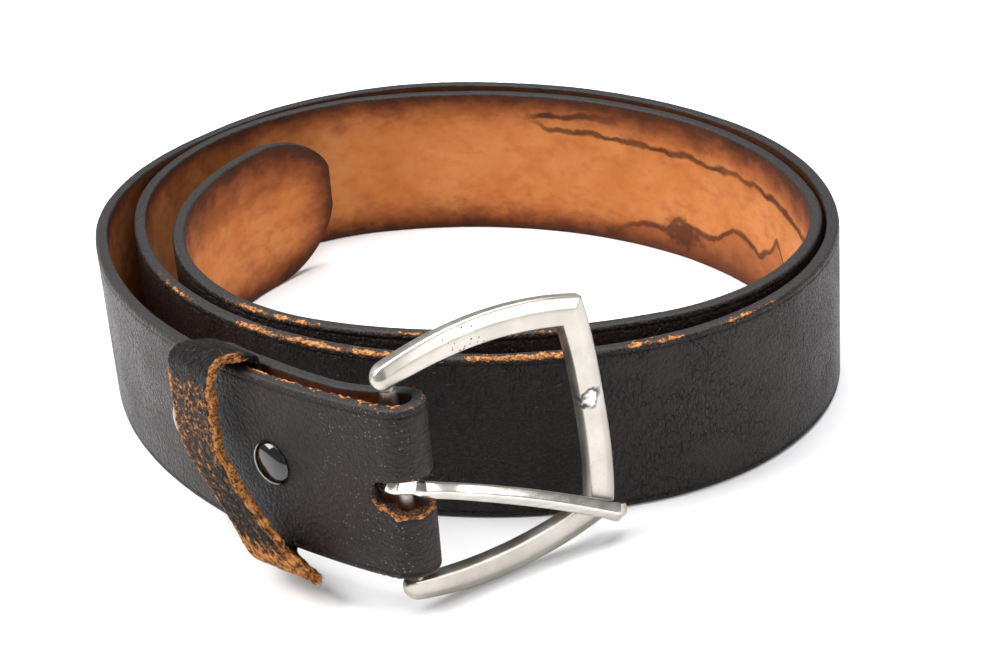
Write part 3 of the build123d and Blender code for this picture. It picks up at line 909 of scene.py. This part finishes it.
def strap_fibres(material):
    """Strands along the worn stretches of the strap's edges and round its slot."""
    roots = []
    outward = []

    def add(distance, height, offset, up, out):
        _, heading, _ = centreline(distance)
        flat = unit(heading + 90) * out
        roots.append(on_strap(distance, height, offset))
        outward.append(np.column_stack([flat, np.full(len(distance), up)]))

    for start, end, strength in TOP_WEAR:
        count = int((end - start) * STRANDS_PER_MM * strength**2)
        distance = RNG.uniform(start, end, count)
        add(distance, WIDTH - RNG.uniform(0, 1.0, count), RNG.uniform(0.2, 1.35, count), 0.5, 0.6)
    start, end, _ = BOTTOM_WEAR[0]
    count = BOTTOM_STRANDS
    add(RNG.uniform(start, end, count), RNG.uniform(0.1, 0.6, count), RNG.uniform(0.3, 1.3, count), -0.2, 0.6)
    for count, side, up in ((SLOT_LOW_STRANDS, -1, 0.7), (SLOT_HIGH_STRANDS, 1, -0.6)):
        distance = RNG.uniform(-8, SLOT_CENTRE, count)
        half = slot_half(slot_reach(distance), WIDTH if side > 0 else 0) - 0.1
        add(distance, WIDTH / 2 + side * half, RNG.uniform(-1.0, 1.4, count), up, 0.35)
    angle = np.radians(RNG.uniform(90, 270, SLOT_END_STRANDS))
    add(SLOT_CENTRE - SLOT_END_RADIUS * np.cos(angle), WIDTH / 2 + SLOT_END_RADIUS * np.sin(angle),
        RNG.uniform(-1, 1.3, SLOT_END_STRANDS), 0.0, 0.5)
    piece = make_fibres("strap_fibres", np.concatenate(roots), np.concatenate(outward), 0.75, 0.045, material)
    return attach(piece, "belt")


# ---------------------------------------------------------------- keeper loop

KEEPER_FRONT = 6.85          # middle of the loop's leather, in front of the strap's middle
KEEPER_BACK = -2.85
KEEPER_REACH = 3.15          # past the strap's edges
KEEPER_CORNER = 4.4
KEEPER_HALF_THICK = 0.75
KEEPER_UPRIGHT_PLACE = 48.6  # of its upper part, along the front layer
KEEPER_SLANT = 0.98          # how far the lower part leans to the buckle for each millimetre down
KEEPER_BEND_HEIGHT = 21.0
KEEPER_BEND_SOFTNESS = 1.6
KEEPER_STATIONS = 300
KEEPER_COLUMNS = 24
KEEPER_EDGE_STRANDS = 2600
KEEPER_CORNER_STRANDS = 420
KEEPER_FACE_STRANDS = 180
KEEPER_FAR_STRANDS = 160


def keeper_line(steps):
    """Closed loop round the front layer: offsets, heights and outward directions, from the back going up."""
    corners = [(KEEPER_BACK, -KEEPER_REACH), (KEEPER_BACK, WIDTH + KEEPER_REACH),
               (KEEPER_FRONT, WIDTH + KEEPER_REACH), (KEEPER_FRONT, -KEEPER_REACH)]
    outline = rounded(corners, [KEEPER_CORNER] * 4, steps=24)
    closed = np.vstack([outline, outline[:1]])
    span = np.concatenate([[0], np.cumsum(np.hypot(*np.diff(closed, axis=0).T))])
    even = np.linspace(0, span[-1], steps, endpoint=False)
    line = np.stack([np.interp(even, span, closed[:, i]) for i in range(2)], axis=1)
    return line, outline_normals(line), even


def keeper_middle(offset, height):
    """Place along the strap of the loop's middle: upright at the top, slanting to the buckle below."""
    below_bend = np.log1p(np.exp((KEEPER_BEND_HEIGHT - height) / KEEPER_BEND_SOFTNESS)) * KEEPER_BEND_SOFTNESS
    front = KEEPER_UPRIGHT_PLACE - KEEPER_SLANT * below_bend
    front = front - 1.2 * smooth_step(height, 34, 44)
    back = 46.0 - 3.0 * smooth_step(height, 30, 42) - 9.0 * smooth_step(height, 12, -3)
    share = smooth_step(offset, KEEPER_BACK + 1, KEEPER_FRONT - 1)
    return back + (front - back) * share


def keeper_half_width(offset, height):
    """Half the loop's width: wider in front, narrowest where it slants."""
    slant = smooth_step(height, 20, 10) * smooth_step(height, 0, 8)
    front = 7.6 + 1.2 * smooth_step(height, 6, -3) - 0.9 * slant
    share = smooth_step(offset, KEEPER_BACK, KEEPER_FRONT)
    return 6.3 + (front - 6.3) * share


def on_keeper(line, normal, across, out):
    """Points for stations of the loop; across is -1 at its far edge and 1 at its buckle edge."""
    offset, height = line[..., 0], line[..., 1]
    distance = keeper_middle(offset, height) - across * keeper_half_width(offset, height)
    return on_strap(distance, height + normal[..., 1] * out, offset + normal[..., 0] * out)


def keeper_section():
    """Share of the half width, and distance out from the loop's middle, round its section."""
    outer = [(x, KEEPER_HALF_THICK) for x in np.linspace(-0.94, 0.90, KEEPER_COLUMNS)]
    buckle_edge = [(0.97, 0.60), (1.0, 0.2), (1.0, -0.25), (0.97, -0.62)]
    inner = [(x, -KEEPER_HALF_THICK) for x in np.linspace(0.90, -0.94, KEEPER_COLUMNS)]
    far_edge = [(-0.985, -0.5), (-1.0, 0.0), (-0.985, 0.5)]
    return np.array(outer + buckle_edge + inner + far_edge)


def make_keeper(material):
    """Loop with a swollen, crumbling buckle edge, creased over the strap's top edge."""
    line, normal, along = keeper_line(KEEPER_STATIONS)
    section = keeper_section()
    around = len(section)
    across = np.repeat(section[None, :, 0], KEEPER_STATIONS, axis=0)
    out = np.repeat(section[None, :, 1], KEEPER_STATIONS, axis=0)
    grid_line = np.repeat(line[:, None], around, axis=1)
    grid_normal = np.repeat(normal[:, None], around, axis=1)
    height = grid_line[..., 1]
    in_front = smooth_step(grid_line[..., 0], -1.5, 3)
    at_edge = smooth_step(across, 0.55, 0.95)
    places = np.stack([np.repeat(along[:, None], around, axis=1), across * 7.5, out], axis=-1)
    lumps = ripple(places, 1.3)
    folds = ripple(places * [0.25, 1, 1], 1.5, 2)
    arch = smooth_step(height, 34, 43) * in_front
    swell = at_edge * (0.35 + 0.95 * lumps) * in_front
    ragged = 0.05 * ripple(places[..., [0, 0, 0]] * [1, 0, 0], 3.0) * np.abs(across)**8 * np.sign(across)
    bottom = smooth_step(height, 6, -2) * in_front
    out = out * (1 + swell * 0.7) + np.sign(out) * (0.16 * lumps * in_front + 0.22 * folds * arch)
    across = across + ragged * (1 + 2.5 * bottom) + 0.07 * lumps * at_edge
    points = on_keeper(grid_line, grid_normal, across, out).reshape(-1, 3)
    faces = tube_faces(KEEPER_STATIONS, around, closed=True)
    piece, used = make_object("keeper_strip", points, faces, [material])
    fix_normals(piece)
    speckle = 0.31 * in_front * smooth_step(height, 41, 36) + 0.13
    low_part = smooth_step(height, 20, 12)
    crumbly = smooth_step(across, 0.78, 0.96)
    worn = speckle - 0.06 * low_part + 0.62 * crumbly * in_front + 0.30 * bottom
    worn = worn + 0.25 * (out < 0) + 0.34 * smooth_step(-across, 0.80, 1.0)
    add_values(piece, used, worn=np.clip(worn, 0, 1))
    add_places(piece, used, places)
    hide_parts("keeper_loop")
    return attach(piece, "keeper")


def keeper_fibres(material):
    """Torn fibre along the loop's buckle edge and at its lower corner, and tufts where its skin broke."""
    line, normal, _ = keeper_line(2 * KEEPER_STATIONS)
    front = np.nonzero(line[:, 0] > 1.0)[0]
    low = front[line[front, 1] < 5]
    roots = []
    outward = []

    def add(stretch, count, across, out, lean):
        """Roots at random places of a stretch, in spans across the loop and out from its middle."""
        rows = RNG.choice(stretch, count)
        across = RNG.uniform(*across, count)
        out = RNG.uniform(*out, count) if isinstance(out, tuple) else np.full(count, out)
        _, heading, _ = centreline(keeper_middle(line[rows, 0], line[rows, 1]))
        flat = unit(heading + 90) * normal[rows, :1] + unit(heading + 180) * lean
        roots.append(on_keeper(line[rows], normal[rows], across, out))
        outward.append(np.concatenate([flat, normal[rows, 1:]], axis=1))

    add(front, KEEPER_EDGE_STRANDS, (0.86, 1.03), (-0.9, 1.1), 0.5)
    add(low, KEEPER_CORNER_STRANDS, (0.7, 1.06), (-0.8, 1.0), 1.0)
    add(front, KEEPER_FACE_STRANDS, (-1.0, 0.85), KEEPER_HALF_THICK, 0.0)
    add(front, KEEPER_FAR_STRANDS, (-1.03, -0.97), (-0.5, 0.6), -0.6)
    piece = make_fibres("keeper_fibres", np.concatenate(roots), np.concatenate(outward), 0.62, 0.06,
                        material, curl=0.9)
    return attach(piece, "keeper")


# ---------------------------------------------------------------- buckle

# Outlines: the arm's end and middle, the corner, and the front bar's middle.
FRAME_REACH = 47.3
FRAME_OUTER = [(-3.4, 26.5), (23.65, 30.25), (FRAME_REACH, 26.0), (49.8, 0)]
FRAME_INNER = [(-3.4, 21.8), (20.75, 24.3), (41.5, 21.2), (43.5, 0)]
# Profile from the inner edge (0) to the outer edge (1), and depth: front is below zero.
FRAME_PROFILE = [(0.0, 2.2), (0.0, -1.75), (0.07, -2.05), (0.56, -2.3),
                 (0.95, -1.15), (1.0, -0.7), (1.0, 1.3), (0.8, 2.2)]
FRAME_ROUNDING = [0.5, 0.25, 0.2, 0.45, 0.35, 0.3, 0.8, 0.8]
FRAME_SKEW = 1.8             # how far the lower corner is bent away from the bar
KNOB_START = -1.0            # the arms' ends are domed beyond here
KNOB_RADIUS = 2.42
BLISTER_PLACE = (45.6, 3.0)  # in the front bar's plate
BLISTER_RADIUS = 1.7
BLISTER_RISE = 0.35


def half_turn(angle):
    """The same angle between minus and plus half a turn."""
    return (angle + math.pi) % (2 * math.pi) - math.pi


def arc_through(a, b, c, shares):
    """Points on the circle through three points, from the first to the last."""
    a, b, c = (np.array(p, float) for p in (a, b, c))
    rows = np.array([b - a, c - a])
    centre = a + np.linalg.solve(2 * rows, (rows**2).sum(axis=1))
    start = math.atan2(*(a - centre)[::-1])
    middle = math.atan2(*(b - centre)[::-1])
    end = math.atan2(*(c - centre)[::-1])
    turn = half_turn(end - start)
    if half_turn(middle - start) * turn < 0:
        turn -= math.copysign(2 * math.pi, turn)
    angles = start + turn * shares
    return centre + np.stack([np.cos(angles), np.sin(angles)], axis=1) * np.hypot(*(a - centre))


def shares_along(first, second, *counts):
    """Shares from 0 to 1 in three even stretches, which meet at the first and second share."""
    ends = (0, first, second, 1)
    stretches = [np.linspace(ends[i], ends[i + 1], counts[i]) for i in range(3)]
    return np.concatenate([stretches[0][:-1], stretches[1][:-1], stretches[2]])


def frame_outline(marks, arm, bar):
    """Upper arm, front bar and lower arm, which mirrors the upper one."""
    arm_end, arm_middle, corner, bar_middle = marks
    upper = arc_through(arm_end, arm_middle, corner, arm)
    front = arc_through(corner, bar_middle, (corner[0], -corner[1]), bar)
    lower = (upper * [1, -1])[::-1]
    return np.vstack([upper[:-1], front, lower[1:]])


def soften(line, spans):
    """Rounds a polyline's corners by averaging with its neighbours."""
    for _ in range(spans):
        line[1:-1] = (line[:-2] + 2 * line[1:-1] + line[2:]) / 4
    return line


def buckle_place():
    """Matrix of the buckle's own frame: x from the heel bar to the front bar, z along the bar."""
    joint = next(j for j in frame["joints"] if j["name"] == "buckle_swing")
    place = Matrix.Translation(Vector(joint["pos_m"]))
    for angle, axis in zip(FRAME_TILT, "XYZ"):
        place = place @ Matrix.Rotation(math.radians(angle), 4, axis)
    return place


def put(points, place):
    """Points in millimetres carried by a matrix in metres."""
    matrix = np.array(place)
    return points @ matrix[:3, :3].T + matrix[:3, 3] / MM


def make_buckle_frame(material):
    """One band round the arms and the front bar, with rounded ends and a blister in its plate."""
    arm = shares_along(0.08, 0.93, 16, 170, 30)
    bar = shares_along(0.06, 0.94, 26, 200, 26)
    outer = soften(frame_outline(FRAME_OUTER, arm, bar), 14)
    inner = soften(frame_outline(FRAME_INNER, arm, bar), 2)
    profile = rounded(FRAME_PROFILE, FRAME_ROUNDING, 5)
    x_end = np.minimum(outer[:, 0], inner[:, 0])
    dome = np.sqrt(np.clip(1 - (np.clip(KNOB_START - x_end, 0, None) / KNOB_RADIUS)**2, 0.02, 1))
    middle = (outer + inner) / 2
    share = profile[None, :, :1] - 0.5
    x, z = np.moveaxis(middle[:, None] + (outer - inner)[:, None] * share * dome[:, None, None], -1, 0)
    depth = profile[None, :, 1]
    bulge = 0.35 * (1 - smooth_step(middle[:, 0], 2, 30))
    slim = 1 - 0.12 * smooth_step(-middle[:, 1], -12, 26)
    y = (depth * dome[:, None] - bulge[:, None] * (depth < 0) * dome[:, None]) * slim[:, None]
    low_corner = smooth_step(-z, -8, 26) * np.clip(x / FRAME_REACH, 0, 1)
    x = x + FRAME_SKEW * low_corner

    front = y < -0.5
    points = np.stack([x, y, z], axis=-1)
    away = np.hypot(x - BLISTER_PLACE[0], z - BLISTER_PLACE[1]) * (1 + 0.35 * ripple(points, 2.0))
    blister = np.exp(-(away / BLISTER_RADIUS)**4) * front
    rim = np.exp(-((away - BLISTER_RADIUS - 0.25) / 0.3)**2) * front
    points[..., 1] -= BLISTER_RISE * blister * (0.7 + 0.6 * ripple(points, 1.5)) - 0.3 * rim
    near_ridge = np.exp(-((x - 22) / 10)**2) * (z > 20) * front
    piece, used = make_object("buckle_casting", put(points.reshape(-1, 3), buckle_place()),
                              tube_faces(len(outer), len(profile)), [material])
    fix_normals(piece)
    add_values(piece, used, blister=blister, rim=rim, pits=0.12 + 0.88 * near_ridge)
    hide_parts("buckle_frame")
    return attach(piece, "buckle")


# The tongue's parts before it is slanted: x away from the bar, y back, z up.
EYE_OUTLINE = [(-3.9, -2.65), (-3.9, 2.65), (3.9, 2.65), (3.9, -2.65)]
EYE_BAND = [(-1.6, -0.6), (1.6, -0.6), (1.6, 0.6), (-1.6, 0.6)]
ROOT_SECTION = [(-1.6, 0.62), (-1.6, -0.62), (0.0, -0.66), (1.6, -0.62), (1.6, 0.62)]
BLADE_SECTION = [(-2.05, 1.15), (-2.1, -0.35), (-0.1, -1.45), (2.1, -0.35), (2.05, 1.15)]
TIP_START = 55.7             # where the blade's end begins to round off
BLADE_SAG = 0.9


def tongue_eye():
    """Grid of the band wrapped round the bar."""
    line = rounded(EYE_OUTLINE, [2.6] * 4, 16)
    band = rounded(EYE_BAND, [0.3] * 4, 4)
    flat = line[:, None] + outline_normals(line)[:, None] * band[None, :, 1:]
    z = np.broadcast_to(band[None, :, 0], flat.shape[:2])
    return np.concatenate([flat, z[..., None]], axis=-1)


def tongue_blade():
    """Grid of the flat root, the step and the two-faced blade with its blunt hooked tip."""
    x = np.concatenate([np.linspace(-3.0, 1.0, 14), np.linspace(1.1, 3.0, 20), np.linspace(3.3, 51.5, 100),
                        np.linspace(51.9, TIP_START, 24),
                        TIP_START + 0.8 * np.sin(np.linspace(0.15, math.pi / 2, 8))])
    root = rounded(ROOT_SECTION, [0.3, 0.3, 0.8, 0.3, 0.3], 6)
    blade = rounded(BLADE_SECTION, [0.5, 0.5, 0.45, 0.5, 0.5], 6)
    share = smooth_step(x, 1.2, 2.6)
    section = root[None] + (blade - root)[None] * share[:, None, None]
    middle = np.interp(x, [-3, 1.2, 2.8, 50.5, 54, 56.5], [-2.75, -2.8, -3.75, -3.95, -3.75, -2.75])
    middle = middle - 0.35 * share * (1 - smooth_step(x, 4, 12))
    swell = 0.9 + 0.13 * smooth_step(x, 50, 53.5) + 0.06 * smooth_step(x, 8, 25)
    end = np.sqrt(np.clip(1 - (np.clip(x - TIP_START, 0, None) / 0.85)**2, 0.03, 1)) * 0.35 + 0.65
    sag = BLADE_SAG * np.sin(np.clip((x - 5) / 50, 0, 1) * math.pi)
    y = middle[:, None] + section[..., 1] * (swell * end)[:, None]
    z = sag[:, None] + section[..., 0] * (swell * end)[:, None]
    x = np.repeat(x[:, None], z.shape[1], axis=1)
    chip = smooth_step(x, 54.5, 56.3) * smooth_step(z, 0.2, -0.8)
    y = y + 0.5 * chip * (1 + ripple(np.stack([x, y, z], axis=-1), 0.8))
    x = x - 0.5 * chip
    z = z - math.tan(math.radians(TONGUE_BEND)) * np.maximum(x - BEND_START, 0)
    return np.stack([x, y, z], axis=-1)


def make_tongue(material):
    """The eye and the blade in one piece, slanted down from the bar."""
    eye = tongue_eye()
    blade = tongue_blade()
    points = np.vstack([eye.reshape(-1, 3), blade.reshape(-1, 3)])
    faces = tube_faces(*eye.shape[:2], closed=True)
    base = eye.shape[0] * eye.shape[1]
    faces += [[base + index for index in face] for face in tube_faces(*blade.shape[:2])]
    place = buckle_place() @ Matrix.Rotation(math.radians(TONGUE_SLANT), 4, "Y")
    piece, used = make_object("tongue_blade", put(points, place), faces, [material])
    fix_normals(piece)
    add_values(piece, used, brass=smooth_step(points[:, 0], 53.8, 55.9) * 0.9)
    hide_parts("buckle_tongue")
    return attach(piece, "tongue")


# ---------------------------------------------------------------- screws

# Radius and height from the middle of the dome, down the barrel, and up its bore.
POST_PROFILE = [(0, 2.0), (0.9, 1.985), (1.8, 1.92), (2.7, 1.79), (3.5, 1.57), (4.2, 1.25), (4.7, 0.88),
                (5.05, 0.5), (5.2, 0.2), (5.2, 0.03), (5.1, 0.0), (2.1, 0.0), (2.1, -8.2), (1.9, -8.4),
                (1.4, -8.4), (1.4, -2.0), (0, -2.0)]
POST_TURNS = 72


def make_post(name, distance, material):
    """Domed cap with its hollow barrel, turned about its own axis."""
    points = []
    for i in range(POST_TURNS):
        angle = 2 * math.pi * i / POST_TURNS
        points += [(r * math.cos(angle), r * math.sin(angle), z) for r, z in POST_PROFILE[1:-1]]
    ring = len(POST_PROFILE) - 2
    points += [(0, 0, POST_PROFILE[0][1]), (0, 0, POST_PROFILE[-1][1])]
    top, bottom = len(points) - 2, len(points) - 1
    faces = []
    for i in range(POST_TURNS):
        a, b = i * ring, (i + 1) % POST_TURNS * ring
        faces += [[a + k, b + k, b + k + 1, a + k + 1] for k in range(ring - 1)]
        faces += [[top, b, a], [bottom, a + ring - 1, b + ring - 1]]
    place = on_strap_plane(distance, HALF_THICK + 0.02)
    piece, _ = make_object(name + "_cap", put(np.array(points, float), place), faces, [material])
    fix_normals(piece)
    piece.data.set_sharp_from_angle(angle=math.radians(50))
    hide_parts(name + "_screw_post")
    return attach(piece, "belt")


# ---------------------------------------------------------------- stage, lights and camera

CAMERA_DISTANCE = 0.600
CAMERA_ELEVATION = 27.5
CAMERA_ROLL = -4.5
CAMERA_LENS = 84.7
CAMERA_SENSOR = 36


def make_camera():
    """Camera that looks at the middle of the strap's route from the buckle's side, slightly rolled."""
    angle = math.radians(CAMERA_ELEVATION)
    roll = math.radians(CAMERA_ROLL)
    right = Vector((1, 0, 0))
    up = Vector((0, math.sin(angle), math.cos(angle)))
    forward = Vector((0, math.cos(angle), -math.sin(angle)))
    rolled_right = right * math.cos(roll) + up * math.sin(roll)
    rolled_up = up * math.cos(roll) - right * math.sin(roll)
    data = bpy.data.cameras.new("camera")
    data.lens = CAMERA_LENS
    data.sensor_width = CAMERA_SENSOR
    camera = bpy.data.objects.new("camera", data)
    bpy.context.scene.collection.objects.link(camera)
    target = Vector((SHIFT[0] * MM, SHIFT[1] * MM, 0))
    camera.matrix_world = matrix_of(rolled_right, rolled_up, -forward, target - forward * CAMERA_DISTANCE)
    bpy.context.scene.camera = camera


FLOOR_HALF = 4000.0
FLOOR_DROP = 0.00005         # metres under the belt, so that the two don't flicker
STUDIO_COLOUR = (0.97, 0.98, 1.0, 1)
STUDIO_STRENGTH = 0.34
LIGHT_TARGET = (0, 0, 0.02)
# Area lights: name, place, size and power.
LIGHTS = [("key", (-0.80, -0.05, 0.80), 0.7, 17),
          ("top", (0.10, 0.20, 1.05), 0.9, 17),
          ("fill", (0.85, -0.50, 0.50), 0.6, 5)]


def make_light(name, location, size, power):
    """Square lamp that faces the light target."""
    data = bpy.data.lights.new(name, "AREA")
    data.shape = "SQUARE"
    data.size = size
    data.energy = power
    light = bpy.data.objects.new(name, data)
    bpy.context.scene.collection.objects.link(light)
    light.location = location
    light.rotation_mode = "QUATERNION"
    light.rotation_quaternion = (Vector(LIGHT_TARGET) - Vector(location)).to_track_quat("-Z", "Y")


def make_stage():
    """Pale floor, even studio light and three soft lamps."""
    corners = np.array([(-1, -1, 0), (1, -1, 0), (1, 1, 0), (-1, 1, 0)]) * FLOOR_HALF
    floor, _ = make_object("floor", corners, [[0, 1, 2, 3]], [floor_paper()], smooth=False)
    floor.location.z = -FLOOR_DROP
    world = bpy.data.worlds.new("studio")
    world.use_nodes = True
    background = world.node_tree.nodes["Background"]
    background.inputs["Color"].default_value = STUDIO_COLOUR
    background.inputs["Strength"].default_value = STUDIO_STRENGTH
    bpy.context.scene.world = world
    for light in LIGHTS:
        make_light(*light)
    bpy.context.scene.view_settings.view_transform = "Standard"


def main():
    """Every visible piece, the CAD pieces that stay visible in their materials, and the stage."""
    fibre = torn_fibre()
    make_strap([strap_grain(), strap_edge(), strap_flesh()])
    strap_fibres(fibre)
    make_keeper(keeper_skin())
    keeper_fibres(fibre)
    satin = satin_nickel()
    enamel = black_enamel()
    make_buckle_frame(satin)
    make_tongue(polished_nickel())
    for name, distance in SCREW_PLACES.items():
        make_post(name, distance, enamel)
    for node, material in (("buckle_bar", satin), ("front_screw", enamel), ("rear_screw", enamel)):
        mesh = frame["nodes"][node].data
        mesh.materials.clear()
        mesh.materials.append(material)
    make_stage()
    make_camera()


main()
bpy.context.view_layer.update()
